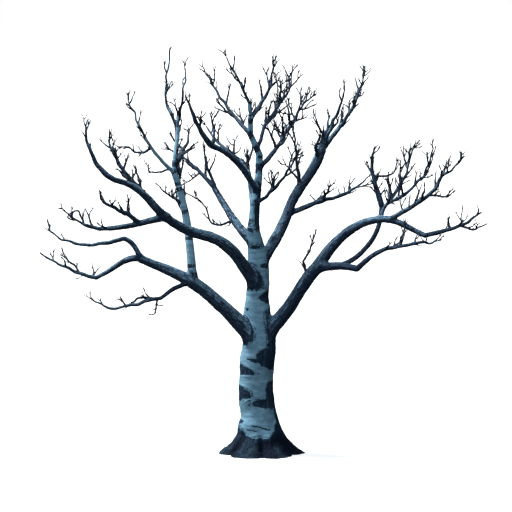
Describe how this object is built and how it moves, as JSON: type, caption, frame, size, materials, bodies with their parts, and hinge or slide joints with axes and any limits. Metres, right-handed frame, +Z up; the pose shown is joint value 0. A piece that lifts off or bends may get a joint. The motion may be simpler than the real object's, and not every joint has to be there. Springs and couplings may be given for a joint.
{
  "type": "bare birch tree",
  "caption": "Old open-grown birch in winter: flared pale trunk with dark scars, crooked dark boughs and a wide leafless crown.",
  "frame": {"origin": "on the flat cut under the trunk, at ground level", "axes": "+Z up; +X to the side of the great arching bough, -X to the side of the two long low boughs; -Y to the front"},
  "size_m": [9.5695, 5.8145, 8.9707],
  "materials": {
    "bark_pale": "pale papery bark with dark bands and scars",
    "bark_dark": "dark ridged bark"
  },
  "bodies": {
    "root": {"trunk": "bark_pale", "low_left_bough": "bark_dark", "low_left_arm": "bark_dark", "low_left_dip": "bark_dark", "low_left_dip_tip": "bark_dark", "low_left_knee": "bark_dark", "low_left_long_arm": "bark_dark", "low_left_hanging": "bark_dark", "low_left_hanging_tip": "bark_dark", "rising_stem": "bark_pale", "stem_left_fork": "bark_pale", "stem_right_fork": "bark_pale", "stem_top_left": "bark_dark", "stem_top_right": "bark_dark", "stem_back_branch": "bark_dark", "mid_left_bough": "bark_dark", "mid_left_arm": "bark_dark", "mid_left_rise": "bark_dark", "mid_left_tip": "bark_dark", "mid_left_top_branch": "bark_dark", "mid_left_branch": "bark_dark", "mid_left_branch_tip": "bark_dark", "mid_left_spur": "bark_dark", "upper_left_bough": "bark_dark", "upper_left_tip": "bark_dark", "upper_left_fork": "bark_dark", "upper_mid_bough": "bark_dark", "upper_mid_tip": "bark_dark", "upper_mid_spur": "bark_dark", "leader_left_branch": "bark_dark", "leader_left_fork": "bark_dark", "leader_right_fork": "bark_dark", "crown_right_branch": "bark_dark", "crown_mid_branch": "bark_dark", "crown_low_branch": "bark_dark", "right_upper_bough": "bark_dark", "right_upper_arm": "bark_dark", "right_upper_tip": "bark_dark", "right_upper_fork": "bark_dark", "right_inner_branch": "bark_dark", "right_side_branch": "bark_dark", "right_bough": "bark_dark", "right_upper_arc": "bark_dark", "right_drop": "bark_dark", "right_tip": "bark_dark", "right_low_arm": "bark_dark", "right_low_tip": "bark_dark", "right_inner_riser": "bark_dark", "riser_left": "bark_dark", "riser_right": "bark_dark", "riser_right_fork": "bark_dark", "right_outer_riser": "bark_dark", "right_outer_tip": "bark_dark", "back_right_bough": "bark_dark", "back_right_arm": "bark_dark", "back_right_tip": "bark_dark", "back_left_bough": "bark_dark", "back_left_tip": "bark_dark", "back_low_bough": "bark_dark", "back_low_arm": "bark_dark"}
  },
  "joints": []
}
